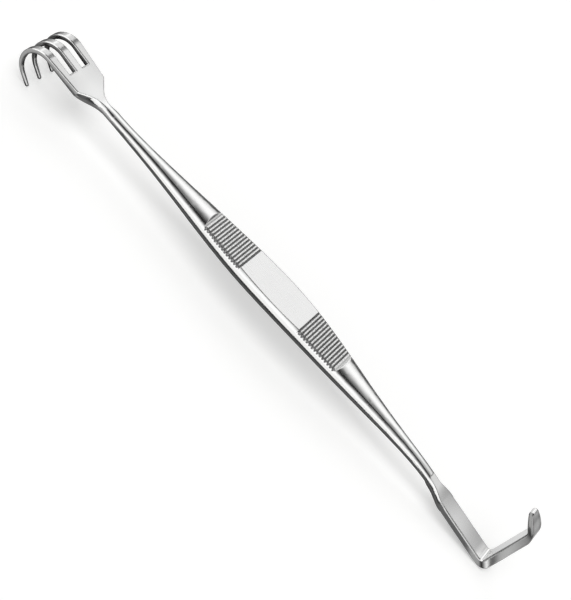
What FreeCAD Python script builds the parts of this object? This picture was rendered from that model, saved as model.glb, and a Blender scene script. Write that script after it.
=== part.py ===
import FreeCAD, Part
import math
import os

# Double-ended hand-held retractor, forged in one piece: a three-pronged rake at one end,
# a right-angled blade at the other, and a flattened, serrated grip between them.
# Millimetres and degrees. While it is built, X runs along the handle towards the blade
# with 0 at mid-length, Y runs across the wide faces, and Z = 0 is about level with the necks.
# lay_down() then sets it on its prong tips and the blade's heel, as it lies on a table.

os.makedirs("parts", exist_ok=True)

overall_length = 170.0

# Handle: crowned top and underside, rounded sides, widest at mid-length.
belly_width = 12.0
belly_thickness = 4.6
neck_width = 3.3
neck_thickness = 2.3
side_bulge_share = 0.28
top_crown_share = 0.17

# Height of the handle's mid-line at its stations, from the rake's neck to the blade's.
rake_neck_height = 0.5
rake_taper_height = 0.72
rake_grip_height = 1.1
rake_land_height = 1.55
middle_height = 2.05
blade_land_height = 2.2
blade_grip_height = 1.72
blade_taper_height = 0.92
blade_neck_height = -0.2

# Ground flats on top of the handle: a bare land between two serrated grips.
land_length = 21.2
grip_length = 12.8
land_height_at_rake = 3.5
land_height_at_blade = 4.2
grip_end_height_at_rake = 2.9
grip_end_height_at_blade = 3.5
grip_runout_angle = 40.0
groove_count = 15
groove_depth = 0.32
groove_width = 0.46

# Rake: a thin flat paddle that flares from the neck, slit into three hooked prongs.
paddle_tilt = 5.9
paddle_thickness = 1.45
shoulder_thickness = 2.0
paddle_length = 10.25
paddle_shoulder_width = 11.0
paddle_shoulder_height = 2.12
paddle_root_length = 4.3
paddle_root_depth = 2.8
paddle_point_half_width = 1.0
paddle_point_radius = 0.7
shoulder_radius = 0.8
rake_neck_length = 5.8
neck_run = 1.4
prong_width = 2.55
prong_gap = 2.54
prong_tip_width = 1.1
prong_tip_thickness = 1.0
slot_setback = 4.85
hook_radius = 5.4
hook_angle = 152.0
hook_tip_length = 3.7

# Swelling between the rake's neck and the shoulders, section by section: how far along it is,
# its shares of the shoulders' width and of the root's depth, and the bulge of its sides.
paddle_root_sections = [
    (0.0, 0.34, 1.0, 0.55),
    (0.37, 0.52, 0.96, 0.45),
    (0.7, 0.76, 0.78, 0.35),
    (1.0, 0.985, 0.52, 0.25),
]

# Blade end: a flat shank that dips from the neck, an upright blade and a turned-back lip.
shank_tilt = 9.8
shank_root_tilt = 14.0
shank_root_length = 6.6
shank_root_sag = 0.07
shank_root_crown_share = 0.4
shank_root_least_crown_share = 0.1
shank_length = 17.6
shank_width = 5.4
shank_thickness = 2.0
blade_lean = 1.5
blade_height = 17.3
blade_thickness = 2.3
heel_inner_radius = 1.1
heel_outer_radius = 2.4
lip_angle = 46.5
lip_length = 5.4
lip_inner_radius = 1.4
lip_outer_radius = 5.5
lip_tip_thickness = 1.35
lip_tip_width = 2.6
lip_tip_radius = 0.5
lip_taper = 1.0

# Swelling between the blade's neck and the shank, section by section: how far along it is,
# its share of the shank's width, and the bulge of its sides.
shank_root_sections = [
    (0.25, 0.60, 0.5),
    (0.5, 0.66, 0.4),
    (0.75, 0.84, 0.3),
    (1.0, 0.985, 0.2),
    (1.2, 0.985, 0.12),
]

# Eased edges. An edge runs lengthwise if its direction's share along Y is under the limit, and
# two directions are parallel if the cosine between them is over theirs.
blade_edge_chamfer = 0.3
rake_edge_chamfer = 0.25
lengthwise_limit = 0.6
parallel_limit = 0.999

# How far the lofted roots keep inside the flat faces that they run into.
inset = 0.02
inset_width_share = 0.985


def vec(x, y, z):
    return FreeCAD.Vector(x, y, z)


def turned(angle, length=1.0):
    """Vector in the XZ plane at an angle above +X."""
    a = math.radians(angle)
    return vec(length * math.cos(a), 0, length * math.sin(a))


def arc(p, q, r):
    return Part.Arc(p, q, r).toShape()


def rounded_wire(corners):
    """Closed wire through (point, radius) corners, each rounded by its radius."""
    edges = []
    last = None
    first = None
    for i, (point, radius) in enumerate(corners):
        to_previous = (corners[i - 1][0] - point).normalize()
        to_next = (corners[(i + 1) % len(corners)][0] - point).normalize()
        if radius > 0:
            half = to_previous.getAngle(to_next) / 2
            setback = radius / math.tan(half)
            inward = (to_previous + to_next).normalize()
            start = point + to_previous * setback
            end = point + to_next * setback
            middle = point + inward * (radius / math.sin(half) - radius)
        else:
            start = end = point
        if last is not None:
            edges.append(Part.makeLine(last, start))
        else:
            first = start
        if radius > 0:
            edges.append(arc(start, middle, end))
        last = end
    edges.append(Part.makeLine(last, first))
    return Part.Wire(edges)


def slab(wire, direction):
    """Solid that a flat closed wire sweeps along a direction, half of it each way."""
    face = Part.Face(wire)
    face.translate(direction * -0.5)
    return face.extrude(direction)


def body_section(x, half_width, bottom, top, crown, side_bulge):
    """Section across the handle: a crowned top, a flat underside and rounded sides with creases."""
    half_height = (top - bottom) / 2
    side_radius = (half_height ** 2 + side_bulge ** 2) / (2 * side_bulge)
    crease_angle = 2 * math.atan(side_bulge / half_height)

    def on_side(side, share):
        out = side * (half_width - side_radius + side_radius * math.cos(crease_angle * share))
        return vec(x, out, bottom + half_height + side_radius * math.sin(crease_angle * share))

    return Part.Wire([
        arc(on_side(1, 1), on_side(1, 0.5), on_side(1, 0)),
        arc(on_side(1, 0), on_side(1, -0.5), on_side(1, -1)),
        Part.makeLine(on_side(1, -1), on_side(-1, -1)),
        arc(on_side(-1, -1), on_side(-1, -0.5), on_side(-1, 0)),
        arc(on_side(-1, 0), on_side(-1, 0.5), on_side(-1, 1)),
        arc(on_side(-1, 1), vec(x, 0, top + crown), on_side(1, 1)),
    ])


# Places along the handle, all worked out from the sizes above.
half_length = overall_length / 2
grip_start = land_length / 2
grip_end = grip_start + grip_length
paddle_mid = paddle_thickness / 2
hook_outer_radius = hook_radius + paddle_mid
rake_across = 3 * prong_width + 2 * prong_gap
prong_pitch = prong_width + prong_gap
prong_depth = 2 * hook_radius
rake_clear_depth = 2.5 * prong_depth
rake_clear_length = 2.5 * prong_depth + paddle_length

paddle_along = turned(180 - paddle_tilt)
paddle_up = turned(90 - paddle_tilt)
hook_start_x = -half_length + hook_outer_radius + hook_outer_radius * paddle_up.x
shoulder_x = hook_start_x - paddle_length * paddle_along.x
rake_neck_x = shoulder_x + paddle_root_length + rake_neck_length

blade_up = turned(90 - blade_lean)
blade_out = turned(-blade_lean)
shank_along = turned(-shank_tilt)
shank_down = turned(-90 - shank_tilt)
heel_x = half_length - blade_thickness / math.cos(math.radians(blade_lean)) \
    - blade_height * math.sin(math.radians(blade_lean))
shank_x = heel_x - shank_length * math.cos(math.radians(shank_tilt))
blade_neck_x = shank_x - shank_root_length
shank_top_z = blade_neck_height + neck_thickness / 2 \
    - shank_root_length * math.tan(math.radians(shank_root_tilt))
shank_top = vec(shank_x, 0, shank_top_z)


def paddle_point(s, height, y=0.0):
    """Point s from the shoulders towards the prongs, at a height above the paddle's top."""
    origin = vec(shoulder_x, y, paddle_shoulder_height)
    return origin + paddle_along * s + paddle_up * height


def handle_station(x, height):
    """Section of the handle, between neck and belly by its place along the handle."""
    neck_x = blade_neck_x if x > 0 else rake_neck_x
    along = math.cos(math.pi / 2 * x / neck_x)
    half_width = (neck_width + (belly_width - neck_width) * along ** 2) / 2
    thickness = neck_thickness + (belly_thickness - neck_thickness) * along
    bulge = side_bulge_share * thickness
    crown = top_crown_share * (half_width - bulge)
    return body_section(x, half_width, height - thickness / 2, height + thickness / 2, crown, bulge)


def neck_section(x, height):
    """Section of either neck, where the handle is thinnest."""
    half_thickness = neck_thickness / 2
    bulge = side_bulge_share * neck_thickness
    crown = top_crown_share * (neck_width / 2 - bulge)
    return body_section(x, neck_width / 2, height - half_thickness, height + half_thickness, crown, bulge)


def handle():
    """Forged handle between the two necks, before its flats are ground."""
    rake_taper_x = -(grip_end - rake_neck_x) / 2
    blade_taper_x = (grip_end + blade_neck_x) / 2
    stations = [
        (rake_neck_x, rake_neck_height),
        (rake_taper_x, rake_taper_height),
        (-grip_end, rake_grip_height),
        (-grip_start, rake_land_height),
        (0, middle_height),
        (grip_start, blade_land_height),
        (grip_end, blade_grip_height),
        (blade_taper_x, blade_taper_height),
        (blade_neck_x, blade_neck_height),
    ]
    return Part.makeLoft([handle_station(x, height) for x, height in stations], True, False)


def handle_flats():
    """Tool that grinds the land and the two grips flat, with a sloping run-out at each end."""
    clear = belly_thickness
    runout = clear / math.tan(math.radians(grip_runout_angle))
    corners = [
        vec(-grip_start, 0, land_height_at_rake),
        vec(grip_start, 0, land_height_at_blade),
        vec(grip_end, 0, grip_end_height_at_blade),
        vec(grip_end + runout, 0, grip_end_height_at_blade + clear),
        vec(-grip_end - runout, 0, grip_end_height_at_rake + clear),
        vec(-grip_end, 0, grip_end_height_at_rake),
    ]
    return slab(Part.makePolygon(corners + corners[:1]), vec(0, 2 * belly_width, 0))


def groove(x, surface_height):
    """Tool for one V groove across the grip, open as far above the flat as it is deep."""
    corners = [
        vec(x - groove_width, 0, surface_height + groove_depth),
        vec(x, 0, surface_height - groove_depth),
        vec(x + groove_width, 0, surface_height + groove_depth),
    ]
    return slab(Part.makePolygon(corners + corners[:1]), vec(0, 2 * belly_width, 0))


def grip_grooves():
    """Grooves of both grips, evenly spaced from the land to the run-out."""
    tools = []
    for i in range(groove_count):
        share = i / (groove_count - 1)
        x = grip_start + grip_length * share
        rake_height = land_height_at_rake + (grip_end_height_at_rake - land_height_at_rake) * share
        blade_height_here = land_height_at_blade + (grip_end_height_at_blade - land_height_at_blade) * share
        tools.append(groove(-x, rake_height))
        tools.append(groove(x, blade_height_here))
    return tools


def paddle_root():
    """Swelling that carries the round neck into the thin paddle."""
    neck_top = rake_neck_height + neck_thickness / 2
    half_shoulder = paddle_shoulder_width / 2
    slope = math.tan(math.radians(paddle_tilt))
    sections = [
        neck_section(rake_neck_x, rake_neck_height),
        neck_section(rake_neck_x - neck_run, rake_neck_height),
    ]
    for share, width_share, depth_share, bulge in paddle_root_sections:
        to_shoulder = paddle_root_length * (1 - share)
        x = shoulder_x + to_shoulder
        top = paddle_shoulder_height - to_shoulder * slope
        bottom = neck_top - paddle_root_depth * depth_share
        half_width = half_shoulder * width_share
        sections.append(body_section(x, half_width, bottom, top - inset, inset / 2, bulge))
    top = paddle_shoulder_height + neck_run * slope
    bottom = top - shoulder_thickness
    half_width = half_shoulder * inset_width_share
    bulge = shoulder_thickness / 8
    sections.append(body_section(shoulder_x - neck_run, half_width, bottom, top - inset, inset / 2, bulge))
    return Part.makeLoft(sections, True, False)


def thickness_at(s):
    """Thickness of the paddle, which thins from its shoulders to where the prongs bend."""
    return shoulder_thickness + (paddle_thickness - shoulder_thickness) * s / paddle_length


def rake_strip():
    """Paddle and hook as one bent strip seen from the side, thinning towards a rounded tip."""
    thinning = (prong_tip_thickness - paddle_thickness) / (1 - math.cos(math.radians(hook_angle)))
    inner_radius = hook_outer_radius - paddle_thickness - thinning
    hook_start = paddle_point(paddle_length, 0)
    outer_centre = hook_start - paddle_up * hook_outer_radius
    inner_centre = outer_centre + paddle_up * thinning
    start_angle = 90 - paddle_tilt
    end_angle = start_angle + hook_angle
    middle_angle = start_angle + hook_angle / 2
    nose = prong_tip_thickness / 2
    tip_along = turned(end_angle + 90)
    outer_end = outer_centre + turned(end_angle, hook_outer_radius)
    inner_end = inner_centre + turned(end_angle, inner_radius)
    tip_length = hook_tip_length - nose
    outer_tip = outer_end + tip_along * tip_length
    inner_tip = outer_tip - turned(end_angle) * prong_tip_thickness
    nose_point = (outer_tip + inner_tip) / 2 + tip_along * nose
    root_top = paddle_point(-paddle_root_length, 0)
    root_under = paddle_point(-paddle_root_length, -thickness_at(-paddle_root_length))
    hook_under = paddle_point(paddle_length, -paddle_thickness)
    strip = Part.Wire([
        Part.makeLine(root_top, hook_start),
        arc(hook_start, outer_centre + turned(middle_angle, hook_outer_radius), outer_end),
        Part.makeLine(outer_end, outer_tip),
        arc(outer_tip, nose_point, inner_tip),
        Part.makeLine(inner_tip, inner_end),
        arc(inner_end, inner_centre + turned(middle_angle, inner_radius), hook_under),
        Part.makeLine(hook_under, root_under),
        Part.makeLine(root_under, root_top),
    ])
    return slab(strip, vec(0, rake_across, 0))


def rake_outline():
    """Outline of the rake seen square to the paddle: the point at the neck, shoulders and prongs."""
    half_shoulder = paddle_shoulder_width / 2
    past_hook = paddle_length + 2 * hook_outer_radius
    half_outline = []
    for s, y, radius in (
            (-paddle_root_length, paddle_point_half_width, paddle_point_radius),
            (0, half_shoulder, shoulder_radius),
            (paddle_length, rake_across / 2, 0),
            (past_hook, rake_across / 2, 0)):
        half_outline.append((paddle_point(s, paddle_thickness, y), radius))
    mirrored = [(vec(p.x, -p.y, p.z), radius) for p, radius in reversed(half_outline)]
    return Part.Face(rounded_wire(half_outline + mirrored)).extrude(paddle_up * -rake_clear_depth)


def prong_gap_tool(start, y_mid, half_gap):
    """Wedge that opens with depth, so that the prongs beside it narrow towards their tips."""
    widening = (prong_width - prong_tip_width) / 2 / prong_depth
    top = half_gap - widening * paddle_thickness
    bottom = top + widening * rake_clear_depth
    high = paddle_point(start, paddle_thickness)
    low = high - paddle_up * rake_clear_depth
    corners = [
        high + vec(0, y_mid - top, 0),
        high + vec(0, y_mid + top, 0),
        low + vec(0, y_mid + bottom, 0),
        low + vec(0, y_mid - bottom, 0),
    ]
    return Part.Face(Part.makePolygon(corners + corners[:1])).extrude(paddle_along * rake_clear_length)


def rake():
    """Paddle slit into three hooked prongs, narrower and thinner towards their blunt tips."""
    gap_mid = prong_pitch / 2
    beside = rake_across / 2 + prong_gap / 2
    tools = []
    for side in (1, -1):
        tools.append(prong_gap_tool(slot_setback, side * gap_mid, prong_gap / 2))
        tools.append(prong_gap_tool(0, side * beside, prong_gap / 2))
    solid = rake_strip().common(rake_outline()).cut(tools)
    return solid.makeChamfer(rake_edge_chamfer, [edge for edge in solid.Edges if is_rake_rim(edge)])


def is_rake_rim(edge):
    """True for the edges that are eased: the rim of the paddle's top and the prongs' long edges."""
    from_shoulder = edge.valueAt((edge.FirstParameter + edge.LastParameter) / 2) - paddle_point(0, 0)
    s = from_shoulder.dot(paddle_along)
    height = from_shoulder.dot(paddle_up)
    if abs(height + paddle_mid) < paddle_mid / 2:
        return False
    if height > -paddle_mid and s < paddle_length / 2:
        return True
    return s > 0 and abs(edge.tangentAt(edge.FirstParameter).y) < lengthwise_limit


def crossing(p, along_p, q, along_q):
    """Point where two lines in the XZ plane meet."""
    d = q - p
    turn = along_p.x * along_q.z - along_p.z * along_q.x
    t = (d.x * along_q.z - d.z * along_q.x) / turn
    return p + along_p * t


def shank_root():
    """Swelling that carries the round neck into the flat shank, before its top is ground."""
    neck_crown = top_crown_share * (neck_width / 2 - side_bulge_share * neck_thickness)
    root_slope = math.tan(math.radians(shank_root_tilt))
    shank_slope = math.tan(math.radians(shank_tilt))
    under = shank_thickness / math.cos(math.radians(shank_tilt))
    sections = [neck_section(blade_neck_x, blade_neck_height)]
    for share, width_share, bulge in shank_root_sections:
        to_shank = 1 - share
        past = -to_shank * shank_root_length
        bottom = shank_top.z - under - past * shank_slope - shank_root_sag * to_shank
        top = shank_top.z - past * root_slope + neck_crown * shank_root_crown_share * max(0.0, to_shank)
        crown = neck_crown * max(shank_root_least_crown_share, to_shank)
        half_width = shank_width / 2 * width_share
        sections.append(body_section(shank_x + past, half_width, bottom, top, crown, bulge))
    return Part.makeLoft(sections, True, False)


def shank_face():
    """Tool that grinds the shank's root flat, down from the crowned neck to the shank's face."""
    past_neck = shank_root_length + neck_run
    on_shank = shank_top + shank_along * neck_run
    clear = vec(0, 0, neck_thickness)
    start = shank_top - turned(-shank_root_tilt, past_neck)
    corners = [start, shank_top, on_shank, on_shank + clear, start + clear]
    return slab(Part.makePolygon(corners + corners[:1]), vec(0, 2 * shank_width, 0))


def lip_outline(root, lip_along, lip_out):
    """Prism of the shank's width, seen square to the lip, whose sides draw in towards the lip's tip."""
    half_width = shank_width / 2
    narrowing = half_width - lip_tip_width / 2
    side_radius = (lip_length ** 2 + narrowing ** 2) / (2 * narrowing)
    past_tip_angle = math.asin((lip_length + blade_thickness / 2) / side_radius)
    clear = blade_height + shank_length

    def outline_point(along, y):
        return root + lip_along * along + vec(0, y, 0)

    def side_point(angle, side):
        drawn_in = side_radius * (1 - math.cos(angle))
        return outline_point(side_radius * math.sin(angle), side * (half_width - drawn_in))

    right_root = outline_point(0, half_width)
    left_root = outline_point(0, -half_width)
    right_tip = side_point(past_tip_angle, 1)
    left_tip = side_point(past_tip_angle, -1)
    right_end = outline_point(-clear, half_width)
    left_end = outline_point(-clear, -half_width)
    outline = Part.Wire([
        Part.makeLine(right_end, right_root),
        arc(right_root, side_point(past_tip_angle / 2, 1), right_tip),
        Part.makeLine(right_tip, left_tip),
        arc(left_tip, side_point(past_tip_angle / 2, -1), left_root),
        Part.makeLine(left_root, left_end),
        Part.makeLine(left_end, right_end),
    ])
    return slab(outline, lip_out * (2 * clear))


def is_blade_rim(edge):
    """True for the edges that are eased: the long edges of the shank, the blade and the lip.

    The seams across the thickness, where the lip's sides start to draw in, stay as they are.
    """
    along_edge = edge.tangentAt(edge.FirstParameter)
    is_line = edge.Curve.TypeId == "Part::GeomLine"
    is_square_to_lip = abs(along_edge.dot(turned(lip_angle))) > parallel_limit
    is_seam = is_line and is_square_to_lip and edge.CenterOfMass.z < shank_top.z + blade_height
    past_shank_start = edge.CenterOfMass.x > shank_top.x + shank_thickness
    return past_shank_start and not is_seam and abs(along_edge.y) < lengthwise_limit


def shank_and_blade():
    """Flat shank, upright blade and turned-back lip, as one bent strip seen from the side."""
    heel = shank_top + shank_along * shank_length
    lip_bend = heel + blade_up * blade_height
    lip_along = turned(90 + lip_angle)
    lip_out = turned(lip_angle)
    lip_tip = lip_bend + lip_along * lip_length
    lip_tip_outer = lip_tip + lip_out * lip_tip_thickness

    blade_outer = heel + blade_out * blade_thickness
    shank_bottom = shank_top + shank_down * shank_thickness
    heel_outer = crossing(shank_bottom, shank_along, blade_outer, blade_up)
    lip_bend_outer = crossing(blade_outer, blade_up, lip_tip_outer, turned(90 + lip_angle + lip_taper))
    strip = slab(rounded_wire([
        (shank_top, 0),
        (heel, heel_inner_radius),
        (lip_bend, lip_inner_radius),
        (lip_tip, lip_tip_radius),
        (lip_tip_outer, lip_tip_radius),
        (lip_bend_outer, lip_outer_radius),
        (heel_outer, heel_outer_radius),
        (shank_bottom, 0),
    ]), vec(0, 2 * shank_width, 0))
    solid = strip.common(lip_outline(lip_bend, lip_along, lip_out))
    return solid.makeChamfer(blade_edge_chamfer, [edge for edge in solid.Edges if is_blade_rim(edge)])


def resting_turn():
    """Turn about Y that brings the prong tips and the blade's heel down to one level."""
    toe_radius = prong_tip_thickness / 2
    start = paddle_point(paddle_length, -paddle_mid) - paddle_up * hook_radius
    toe_up = turned(90 - paddle_tilt + hook_angle)
    toe_along = turned(180 - paddle_tilt + hook_angle)
    toe = start + toe_up * hook_radius + toe_along * (hook_tip_length - toe_radius)
    heel_top = shank_top + shank_along * shank_length
    heel = heel_top + (blade_out * blade_thickness + shank_down * shank_thickness)
    heel -= (blade_out + shank_down) * heel_outer_radius
    span = heel - toe
    slope = math.degrees(math.atan2(span.z, span.x))
    return slope - math.degrees(math.asin((heel_outer_radius - toe_radius) / span.Length))


def lay_down(shape):
    """Set the retractor as it lies on a table, with the middle of its box over the origin."""
    shape.rotate(vec(0, 0, 0), vec(0, 1, 0), resting_turn())
    box = shape.optimalBoundingBox(True)
    shape.translate(vec(-box.Center.x, 0, -box.ZMin))
    return shape


def retractor():
    """Whole forging: handle, rake and blade in one solid, ground and serrated."""
    body = handle().cut(handle_flats()).cut(grip_grooves())
    ends = [paddle_root(), rake(), shank_root().cut(shank_face()), shank_and_blade()]
    return lay_down(body.fuse(ends))


retractor().exportStep("parts/retractor.step")
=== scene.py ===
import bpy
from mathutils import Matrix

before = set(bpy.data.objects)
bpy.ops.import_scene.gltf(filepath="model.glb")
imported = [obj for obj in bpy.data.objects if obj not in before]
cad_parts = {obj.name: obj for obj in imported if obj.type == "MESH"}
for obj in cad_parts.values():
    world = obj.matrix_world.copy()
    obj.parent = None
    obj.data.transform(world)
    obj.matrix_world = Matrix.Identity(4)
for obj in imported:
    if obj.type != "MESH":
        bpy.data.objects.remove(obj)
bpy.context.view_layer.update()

import math

import bpy
from mathutils import Matrix, Vector


# The photograph's camera: a long lens looking down on the near side of the retractor, turned about
# its own axis so that the handle runs down the picture from the rake, high on the left, to the blade.
MM = 0.001
camera_aim = Vector((2.66, 1.454, 9.442)) * MM
camera_distance = 450 * MM
camera_azimuth = math.radians(-87.908)
camera_elevation = math.radians(42.575)
camera_roll = math.radians(46.007)
picture_width, picture_height = 571, 600
focal_length_px = 1841.1
film_width = 36
nearest_seen, farthest_seen = 10 * MM, 10

back = Vector((
    math.cos(camera_elevation) * math.cos(camera_azimuth),
    math.cos(camera_elevation) * math.sin(camera_azimuth),
    math.sin(camera_elevation),
))
level_right = Vector((0, 0, 1)).cross(back).normalized()
level_up = back.cross(level_right)
right = level_right * math.cos(camera_roll) + level_up * math.sin(camera_roll)
up = back.cross(right)
turn = Matrix((right, up, back)).transposed().to_4x4()

camera_data = bpy.data.cameras.new("camera")
camera_data.sensor_width = film_width
camera_data.lens = film_width * focal_length_px / max(picture_width, picture_height)
camera_data.clip_start = nearest_seen
camera_data.clip_end = farthest_seen
camera = bpy.data.objects.new("camera", camera_data)
bpy.context.scene.collection.objects.link(camera)
camera.matrix_world = Matrix.Translation(camera_aim + back * camera_distance) @ turn
bpy.context.scene.camera = camera
bpy.context.scene.view_settings.view_transform = "Standard"


# The table: a plain white sheet under the retractor, wide enough to fill every view. The camera and
# the steel see it white all over but for the soft shadow; the light it gives back is that of matt paper.
table_half = 1.5
table_white = (0.88, 0.88, 0.875, 1)
table_lift = 0.42
table_matte_share = 0.82


class Maths:
    """A shader socket on which Python's operators add Math nodes."""

    def __init__(self, tree, socket):
        self.tree = tree
        self.socket = socket

    def _with(self, operation, *values):
        node = self.tree.nodes.new("ShaderNodeMath")
        node.operation = operation
        for slot, value in zip(node.inputs, values):
            if isinstance(value, Maths):
                self.tree.links.new(value.socket, slot)
            else:
                slot.default_value = value
        return Maths(self.tree, node.outputs[0])

    def __add__(self, other):
        return self._with("ADD", self, other)

    def __radd__(self, other):
        return self._with("ADD", other, self)

    def __sub__(self, other):
        return self._with("SUBTRACT", self, other)

    def __rsub__(self, other):
        return self._with("SUBTRACT", other, self)

    def __mul__(self, other):
        return self._with("MULTIPLY", self, other)

    def __rmul__(self, other):
        return self._with("MULTIPLY", other, self)

    def __truediv__(self, other):
        return self._with("DIVIDE", self, other)

    def __pow__(self, other):
        return self._with("POWER", self, other)

    def __neg__(self):
        return self._with("MULTIPLY", self, -1)

    def __abs__(self):
        return self._with("ABSOLUTE", self)

    def floor(self):
        return self._with("FLOOR", self)

    def least(self, other):
        return self._with("MINIMUM", self, other)

    def most(self, other):
        return self._with("MAXIMUM", self, other)

    def angle_from(self, other):
        """Angle, in radians, whose tangent is this over the other."""
        return self._with("ARCTAN2", self, other)

    def ramp(self, low, high):
        """0 below low, 1 above high, with a smooth step between them."""
        node = self.tree.nodes.new("ShaderNodeMapRange")
        node.interpolation_type = "SMOOTHSTEP"
        self.tree.links.new(self.socket, node.inputs["Value"])
        node.inputs["From Min"].default_value = low
        node.inputs["From Max"].default_value = high
        return Maths(self.tree, node.outputs["Result"])

    def near(self, middle, half_width):
        """1 at the middle, fading smoothly to 0 at half a width away."""
        return 1 - abs(self - middle).ramp(0, half_width)


class Shader:
    """A material's or the world's node tree, with one method that adds any node."""

    def __init__(self, owner):
        owner.use_nodes = True
        self.tree = owner.node_tree
        self.tree.nodes.clear()

    def node(self, kind, settings=None, **sockets):
        """Adds a node of this kind. A socket is given by its name, or by number as _0, _1 and so on."""
        node = self.tree.nodes.new("ShaderNode" + kind)
        for name, value in (settings or {}).items():
            setattr(node, name, value)
        for name, value in sockets.items():
            number = name[1:]
            slot = node.inputs[int(number) if number.isdigit() else name.replace("_", " ")]
            source = value.socket if isinstance(value, Maths) else value
            if isinstance(source, bpy.types.NodeSocket):
                self.tree.links.new(source, slot)
            else:
                slot.default_value = source
        return node

    def value(self, node, output=0):
        return Maths(self.tree, node.outputs[output])


def level_sheet(x_from, x_to, y_from, y_to, z):
    """The four corners of a level rectangle."""
    return [(x_from, y_from, z), (x_to, y_from, z), (x_to, y_to, z), (x_from, y_to, z)]


def stage_sheets(name, sheets, material):
    """One stage object made of flat sheets, each given by its four corners."""
    mesh = bpy.data.meshes.new(name)
    corners = [corner for sheet in sheets for corner in sheet]
    mesh.from_pydata(corners, [], [range(first, first + 4) for first in range(0, len(corners), 4)])
    mesh.materials.append(material)
    made = bpy.data.objects.new(name, mesh)
    bpy.context.scene.collection.objects.link(made)
    return made


table_material = bpy.data.materials.new("white_table")
table = Shader(table_material)
path = table.node("LightPath")
seen = table.value(path, "Is Camera Ray").most(table.value(path, "Is Glossy Ray"))
matte = table.node("BsdfDiffuse", Color=table_white)
seen_white = [table_matte_share * channel for channel in table_white[:3]] + [1]
seen_matte = table.node("BsdfDiffuse", Color=seen_white)
lift = table.node("Emission", Color=table_white, Strength=table_lift)
seen_table = table.node("AddShader", _0=seen_matte.outputs[0], _1=lift.outputs[0])
chosen = table.node("MixShader", _0=seen, _1=matte.outputs[0], _2=seen_table.outputs[0])
table.node("OutputMaterial", Surface=chosen.outputs[0])

stage_sheets("table", [level_sheet(-table_half, table_half, -table_half, table_half, 0)], table_material)


# Dark cards lying on the table: one under the handle, one at the rake and one at the blade. Only the
# steel sees them. The last two are greyer, and stripes in front of the heel draw the bands on its side.
card_height = 0.3 * MM
card_far_edge = 700 * MM
handle_card = level_sheet(-58 * MM, 60 * MM, -21 * MM, 45 * MM, card_height)
rake_card = level_sheet(-card_far_edge, -58 * MM, -60 * MM, card_far_edge, card_height)
blade_card = level_sheet(60 * MM, card_far_edge, -45 * MM, card_far_edge, card_height)
handle_card_grey, stripe_paler = 0.05, 0.09
rake_front_grey, rake_front_paler = 0.20, 0.30
rake_back_grey, rake_back_paler = 0.06, 0.30
blade_front_grey, from_heel_paler, past_blade_darker = 0.16, 0.30, 0.20
blade_back_grey, blade_back_darker = 0.85, 0.42
blade_side = 2.7 * MM
stripe_slant = 0.70
heel_stripes = [
    (-0.42, 84 * MM, 1.3 * MM),
    (0.75, 86.1 * MM, 1.4 * MM),
    (-0.30, 88.3 * MM, 3.5 * MM),
    (0.10, 94 * MM, 5 * MM),
]

card_material = bpy.data.materials.new("dark_card")
card = Shader(card_material)
on_card = card.node("SeparateXYZ", Vector=card.node("TexCoord").outputs["Object"])
card_along = card.value(on_card, "X")
in_front = -card.value(on_card, "Y")
behind = (-in_front).ramp(2 * MM, 4 * MM)

under_handle = handle_card_grey + stripe_paler * in_front.near(6 * MM, 7 * MM)

rake_front = rake_front_grey + rake_front_paler * in_front.ramp(5 * MM, 9 * MM)
rake_back = rake_back_grey + rake_back_paler * (-card_along).ramp(95 * MM, 120 * MM)
under_rake = rake_front * (1 - behind) + rake_back * behind

heel_side = card_along + (in_front - blade_side) * stripe_slant
blade_front = blade_front_grey + from_heel_paler * heel_side.ramp(78 * MM, 81 * MM)
blade_front = blade_front - past_blade_darker * heel_side.ramp(97 * MM, 104 * MM)
for stripe_change, stripe_middle, stripe_half_width in heel_stripes:
    blade_front = blade_front + stripe_change * heel_side.near(stripe_middle, stripe_half_width)
blade_back = blade_back_grey - blade_back_darker * card_along.ramp(92 * MM, 104 * MM)
under_blade = blade_front * (1 - behind) + blade_back * behind

at_rake = (-card_along).ramp(57 * MM, 62 * MM)
at_blade = card_along.ramp(62 * MM, 66 * MM)
card_grey = under_handle * (1 - at_rake) * (1 - at_blade) + under_rake * at_rake + under_blade * at_blade
card_tone = card.node("CombineColor", Red=card_grey, Green=card_grey, Blue=card_grey)
card_finish = card.node("BsdfDiffuse", Color=card_tone.outputs[0])
card.node("OutputMaterial", Surface=card_finish.outputs[0])


def show_to_steel_only(sheet):
    sheet.visible_camera = False
    sheet.visible_diffuse = False
    sheet.visible_shadow = False


show_to_steel_only(stage_sheets("dark_card", [handle_card, rake_card, blade_card], card_material))


# A narrow dark flag standing behind the rake. Only the steel sees it, and it draws the dark line
# across each prong where the bend starts.
flag_left, flag_right = -106 * MM, -91 * MM
flag_low, flag_high = 35 * MM, 120 * MM
flag_depth = 60 * MM
flag_grey = (0.2, 0.2, 0.2, 1)

flag_material = bpy.data.materials.new("black_flag")
flag = Shader(flag_material)
flag_finish = flag.node("BsdfDiffuse", Color=flag_grey)
flag.node("OutputMaterial", Surface=flag_finish.outputs[0])
upright_flag = [
    (flag_left, flag_depth, flag_low),
    (flag_right, flag_depth, flag_low),
    (flag_right, flag_depth, flag_high),
    (flag_left, flag_depth, flag_high),
]
show_to_steel_only(stage_sheets("black_flag", [upright_flag], flag_material))


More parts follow.
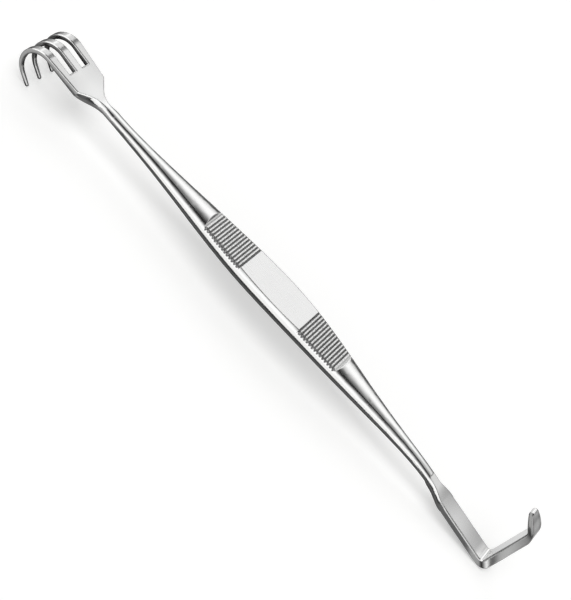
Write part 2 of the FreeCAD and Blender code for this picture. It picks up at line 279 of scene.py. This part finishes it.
# The studio: long white softboxes behind the table and low in front of it, with a dark gap overhead.
# The steel alone also sees a box over each end and a faint strip in the middle of the gap. The edges,
# in degrees, go round the handle from the front, up and back.
white_level = 1.15
gap_level = 0.02
front_box_edge = (15, 58)
front_box_edge_on_steel = (19, 58)
end_box_back_edge = (92, 118)
strip_level, strip_half_width = 0.22, 0.09
back_box_edge = (100, 134)
back_box_fade, back_box_faded = (138, 166), 0.45
back_horizon, horizon_darker = (155, 165), 0.9
rake_horizon_paler, past_rake_darker, blade_horizon_paler = 0.9, 0.6, 0.5
beside_blade_darker, past_blade_end_darker = 0.3, 0.4

studio_world = bpy.data.worlds.new("studio")
bpy.context.scene.world = studio_world
studio = Shader(studio_world)
toward = studio.node("SeparateXYZ", Vector=studio.node("TexCoord").outputs["Generated"])
toward_blade = studio.value(toward, "X")
toward_rake = -toward_blade
round_handle = studio.value(toward, "Z").angle_from(-studio.value(toward, "Y"))
for_steel = studio.value(studio.node("LightPath"), "Is Glossy Ray")


def past(edge):
    """How far round the handle a direction is, from 0 before the soft edge to 1 after it."""
    start, end = edge
    return round_handle.ramp(math.radians(start), math.radians(end))


end_boxes = abs(toward_blade).ramp(0.40, 0.54) + strip_level * toward_blade.near(0, strip_half_width)
end_boxes = end_boxes * (1 - past(end_box_back_edge))
gap = past(front_box_edge) * (1 - for_steel) + past(front_box_edge_on_steel) * (1 - end_boxes) * for_steel
front_box = 1 - gap

beside_rake = toward_rake.ramp(0.40, 0.55)
back_box = past(back_box_edge) - back_box_faded * past(back_box_fade) * (1 - beside_rake)
horizon_change = horizon_darker - rake_horizon_paler * beside_rake
horizon_change = horizon_change + past_rake_darker * toward_rake.ramp(0.62, 0.70)
horizon_change = horizon_change - blade_horizon_paler * toward_blade.ramp(0.45, 0.60)
horizon_dimming = horizon_change * past(back_horizon)
end_dimming = beside_blade_darker * toward_blade.ramp(0.20, 0.34)
end_dimming = end_dimming + past_blade_end_darker * toward_blade.ramp(0.48, 0.56)
brightness = (front_box + back_box * (1 - horizon_dimming) * (1 - end_dimming)) * white_level + gap_level
light = studio.node("Background", Color=(1, 1, 1, 1), Strength=brightness)
studio.node("OutputWorld", Surface=light.outputs[0])


# A large soft lamp above the table, tilted a little from straight down. It lays the retractor's
# shadow, and the steel doesn't reflect it.
lamp_strength = 1.75
lamp_spread = math.radians(58)
lamp_tilt = math.radians(14)

lamp_data = bpy.data.lights.new("soft_lamp", "SUN")
lamp_data.energy = lamp_strength
lamp_data.angle = lamp_spread
lamp = bpy.data.objects.new("soft_lamp", lamp_data)
lamp.rotation_euler = (lamp_tilt, 0, 0)
lamp.visible_glossy = False
bpy.context.scene.collection.objects.link(lamp)


# The retractor: one forging of stainless steel, shown as the CAD solid has it. Handle, necks, rake and
# blade are polished; the land between the grips is ground flat and satin, and the grips are cut across.
steel_grey = 0.86
steel_blue_share = 0.995
edge_radius = 0.35 * MM
polish, cloud_strength, line_strength = 0.10, 0.06, 0.05
line_bump, line_depth = 0.03, 0.02 * MM
brushing_scale = (120, 4000, 4000)
cloud_scale, speckle_scale = 180, 3500

steel_material = bpy.data.materials.new("stainless_steel")
steel = Shader(steel_material)
place = steel.node("TexCoord").outputs["Object"]
spot = steel.node("SeparateXYZ", Vector=place)
along = steel.value(spot, "X")
across = steel.value(spot, "Y")
height = steel.value(spot, "Z")
from_middle = abs(along)
true_normal = steel.node("NewGeometry").outputs["Normal"]
facing = steel.node("SeparateXYZ", Vector=true_normal)
bladeward = steel.value(facing, "X")
frontward = -steel.value(facing, "Y")
upward = steel.value(facing, "Z")
nearly_level = upward.ramp(0.90, 0.96)
level = upward.ramp(0.96, 0.985)

eased = steel.node("Bevel", {"samples": 8}, Radius=edge_radius)
agreement = steel.node("VectorMath", {"operation": "DOT_PRODUCT"}, _0=eased.outputs[0], _1=true_normal)
agreement = steel.value(agreement, "Value")
by_edge = 1 - agreement.ramp(0.90, 0.985)

brushed = steel.node("Mapping", Vector=place, Scale=brushing_scale)
lines = steel.value(steel.node("TexNoise", Vector=brushed.outputs[0], Scale=1, Detail=3))
cloud = steel.value(steel.node("TexNoise", Vector=place, Scale=cloud_scale, Detail=4))
speckle = steel.value(steel.node("TexNoise", Vector=place, Scale=speckle_scale, Detail=2))


def darkened(tone, share, where):
    """The tone, with this share of it lost where the mask is 1."""
    return tone * (1 - share * where)


# The crown of the handle: polished from neck to neck, with a dark line of painted shade along its far
# shoulder, where it turns under.
handle_half_length, neck_fade = 60 * MM, 4 * MM
shoulder_facing, shoulder_width, shoulder_painted_shade = 0.66, 0.16, 0.6
on_handle = 1 - from_middle.ramp(handle_half_length, handle_half_length + neck_fade)
far_shoulder_shade_line = (-frontward).near(shoulder_facing, shoulder_width) * on_handle
tone = darkened(steel_grey, shoulder_painted_shade, far_shoulder_shade_line)

# The land: ground flat at the middle of the handle, bare and satin, with a thin dark line of painted
# shade along its edges.
land_half_length = 10.6 * MM
land_darker, land_line_painted_shade, land_rougher = 0.08, 0.95, 0.14
on_land = upward.ramp(0.995, 0.9995) * (1 - from_middle.ramp(land_half_length, land_half_length + 0.2 * MM))
land_line = (1 - agreement.ramp(0.985, 0.9995)) * on_land
tone = darkened(tone, land_darker, on_land)
# Painted shade: the thin dark line along the land's edges.
tone = darkened(tone, land_line_painted_shade, land_line)

# The grips: grooves cut across the handle past each end of the land, darkened with painted shade. The
# ridges between them are speckled, with a painted dark line along each crest and a scalloped line of
# painted shade along their ends, and a thin line of painted shade closes each grip.
grip_length = 12.8 * MM
groove_count = 14
groove_pitch = grip_length / groove_count
groove_floor_half_width, groove_half_width = 0.08 * MM, 0.27 * MM
groove_painted_shade, groove_rougher, closing_line_painted_shade = 0.9, 0.2, 0.7
speckle_dark, crest_line_painted_shade = 0.45, 0.35
scallop_facing, scallop_width, scallop_swing, scallop_painted_shade = 0.66, 0.2, 0.16, 0.88
past_land = from_middle - land_half_length
on_grip = past_land.ramp(-0.3 * MM, -0.2 * MM) * (1 - past_land.ramp(grip_length, grip_length + 0.15 * MM))
on_grip = on_grip * upward.ramp(0.42, 0.50)
over_ridges = upward.ramp(0.5, 0.7)
from_groove = abs(past_land / groove_pitch - (past_land / groove_pitch + 0.5).floor()) * groove_pitch
grooved = on_grip * (1 - from_groove.ramp(groove_floor_half_width, groove_half_width)) * over_ridges
before_last = 1 - past_land.ramp(grip_length - 0.45 * MM, grip_length - 0.3 * MM)
last_line = past_land.near(grip_length - 0.05 * MM, 0.2 * MM) * over_ridges
ridge_top = from_groove.ramp(0.38 * groove_pitch, 0.5 * groove_pitch)
scallop = upward + scallop_swing * from_groove.ramp(0.1 * groove_pitch, 0.45 * groove_pitch)
scalloped_shade_line = scallop.near(scallop_facing, scallop_width) * before_last.most(frontward.ramp(0.2, 0.45))
# Painted shade darkens the grooves; the speckle after it is the steel's own.
tone = darkened(tone, groove_painted_shade, grooved)
tone = darkened(tone, speckle_dark, on_grip * before_last * speckle.ramp(0.5, 0.62))
# Painted shade: the line closing each grip, the line along each crest and the scalloped line at the ridges'
# ends.
tone = darkened(tone, closing_line_painted_shade, last_line)
tone = darkened(tone, crest_line_painted_shade, on_grip * ridge_top)
tone = darkened(tone, scallop_painted_shade, on_grip * scalloped_shade_line)

# The flats of the two ends, the paddle's and the shank's: a little duller than the handle, with painted
# shade along their edges where they turn down.
flats_start, flats_full = 61 * MM, 64 * MM
flats_darker, flats_rougher, flat_edge_painted_shade = 0.26, 0.08, 0.7
on_flats = from_middle.ramp(flats_start, flats_full) * nearly_level
tone = darkened(tone, flats_darker, on_flats)
# Painted shade along the edges of level faces.
tone = darkened(tone, flat_edge_painted_shade, by_edge * level)

# The shank: a flat bar from the neck to the heel of the blade. Painted light makes it palest along its
# near side, at its middle and just before the heel.
shank_start, shank_full = 61 * MM, 63 * MM
shank_middle, before_heel = 71 * MM, 80.2 * MM
shank_share, near_side_painted_light, middle_painted_light, before_heel_painted_light = 0.80, 0.18, 0.30, 0.34
on_shank = along.ramp(shank_start, shank_full) * nearly_level
shank_painted_shading = shank_share + near_side_painted_light * across.ramp(3.5 * MM, -3.5 * MM)
shank_painted_shading = shank_painted_shading + middle_painted_light * along.near(shank_middle, 7 * MM)
shank_painted_shading = shank_painted_shading + before_heel_painted_light * along.near(before_heel, 1.6 * MM)
# Painted light and shade across the shank.
tone = tone * (1 - on_shank + on_shank * shank_painted_shading)

# The paddle: the flat root of the rake. A painted highlight lightens it along its middle and where it
# leaves the neck.
# Distances from the middle of the handle are counted towards the rake.
paddle_start, paddle_full = 60 * MM, 64 * MM
root_gleam_at, root_painted_gleam, middle_painted_gleam = 65 * MM, 0.08, 0.10
toward_prongs = -along
on_paddle = toward_prongs.ramp(paddle_start, paddle_full) * level
paddle_painted_gleam = middle_painted_gleam * across.near(-0.5 * MM, 6 * MM)
paddle_painted_gleam = paddle_painted_gleam + root_painted_gleam * toward_prongs.near(root_gleam_at, 6 * MM)
# Painted highlight on the paddle.
tone = tone * (1 + paddle_painted_gleam * on_paddle)

# The prongs' sides: painted shade makes them dark along the upper edge and below, paler between, and
# darker in the slots, and it darkens the hooks on the inside. The upper edge is straight as far as the
# bends and then goes round them.
sides_start, sides_full = 64 * MM, 66 * MM
hook_centre_x, hook_centre_z, hook_radius = -78.99 * MM, 6.94 * MM, 6.125 * MM
rake_top_x, rake_top_z, rake_top_slope = -78.21 * MM, 13.01 * MM, -0.128
upper_line_depth = 0.26 * MM
lower_start, lower_full = 0.7 * MM, 1.3 * MM
slot_wall_from, slot_wall_to = -4.6 * MM, -4.2 * MM
side_darker, upper_line_darker, lower_darker, slot_darker, side_darkest = 0.14, 0.62, 0.6, 0.5, 0.9
hook_inside_painted_shade = 0.55
on_hook = toward_prongs.ramp(-rake_top_x, -rake_top_x + 0.2 * MM)
from_hook_centre = ((along - hook_centre_x) ** 2 + (height - hook_centre_z) ** 2) ** 0.5
below_straight = rake_top_z + (along - rake_top_x) * rake_top_slope - height
below_top = below_straight * (1 - on_hook) + (hook_radius - from_hook_centre) * on_hook
prong_side = toward_prongs.ramp(sides_start, sides_full) * frontward.ramp(0.75, 0.92)
prong_painted_shade = side_darker + upper_line_darker * (1 - below_top.ramp(0, upper_line_depth))
prong_painted_shade = prong_painted_shade + lower_darker * below_top.ramp(lower_start, lower_full)
prong_painted_shade = prong_painted_shade + slot_darker * across.ramp(slot_wall_from, slot_wall_to)
# Painted shade on the prongs' sides and inside the hooks.
tone = darkened(tone, prong_painted_shade.least(side_darkest), prong_side)
tone = darkened(tone, hook_inside_painted_shade, on_hook * bladeward.ramp(0.3, 0.5))

# The lip, turned back from the top of the blade: painted shade darkens its near side, its edges, its
# root and the band just under its top, and painted light makes it palest a little below that.
lip_start, lip_full = 78 * MM, 79 * MM
lip_low, lip_whole = 18 * MM, 20.5 * MM
lip_root, lip_palest, under_lip_top = 19 * MM, 21.2 * MM, 22.7 * MM
lip_middle, lip_border_from, lip_border_to = -0.2 * MM, 0.6 * MM, 2.2 * MM
near_side_darker, root_darker, border_darker, under_top_darker = 0.62, 0.3, 0.4, 0.45
palest_painted_light, lip_edge_darker, lip_darkest = 0.2, 0.25, 0.85
lip_back = bladeward.ramp(0.5, 0.8)
lip_back_painted_shade = border_darker * abs(across - lip_middle).ramp(lip_border_from, lip_border_to)
lip_back_painted_shade = lip_back_painted_shade + under_top_darker * height.near(under_lip_top, 0.9 * MM)
lip_back_painted_shade = lip_back_painted_shade - palest_painted_light * height.near(lip_palest, 1 * MM)
lip_painted_shade = near_side_darker * frontward.ramp(0.2, 0.5) + root_darker * height.near(lip_root, 3 * MM)
lip_painted_shade = lip_painted_shade + lip_back_painted_shade * lip_back + lip_edge_darker * by_edge
on_lip = along.ramp(lip_start, lip_full) * height.ramp(lip_low, lip_whole)
# Painted shade and light on the lip.
tone = darkened(tone, lip_painted_shade.least(lip_darkest), on_lip)

# The finish of the whole forging: fine brushing lines and a faint cloud in the polish, with every
# edge eased a little in the light that it reflects.
colour = steel.node("CombineColor", Red=tone, Green=tone, Blue=tone * steel_blue_share)
roughness = polish + cloud * cloud_strength + (lines - 0.5) * line_strength
roughness = roughness + on_land * land_rougher + on_flats * flats_rougher + grooved * groove_rougher
bump = steel.node("Bump", Strength=line_bump, Distance=line_depth, Height=lines, Normal=eased.outputs[0])
surface = steel.node(
    "BsdfPrincipled", Base_Color=colour.outputs[0], Metallic=1, Roughness=roughness, Normal=bump.outputs[0])
steel.node("OutputMaterial", Surface=surface.outputs[0])

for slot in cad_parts["retractor"].material_slots:
    slot.material = steel_material


bpy.context.view_layer.update()
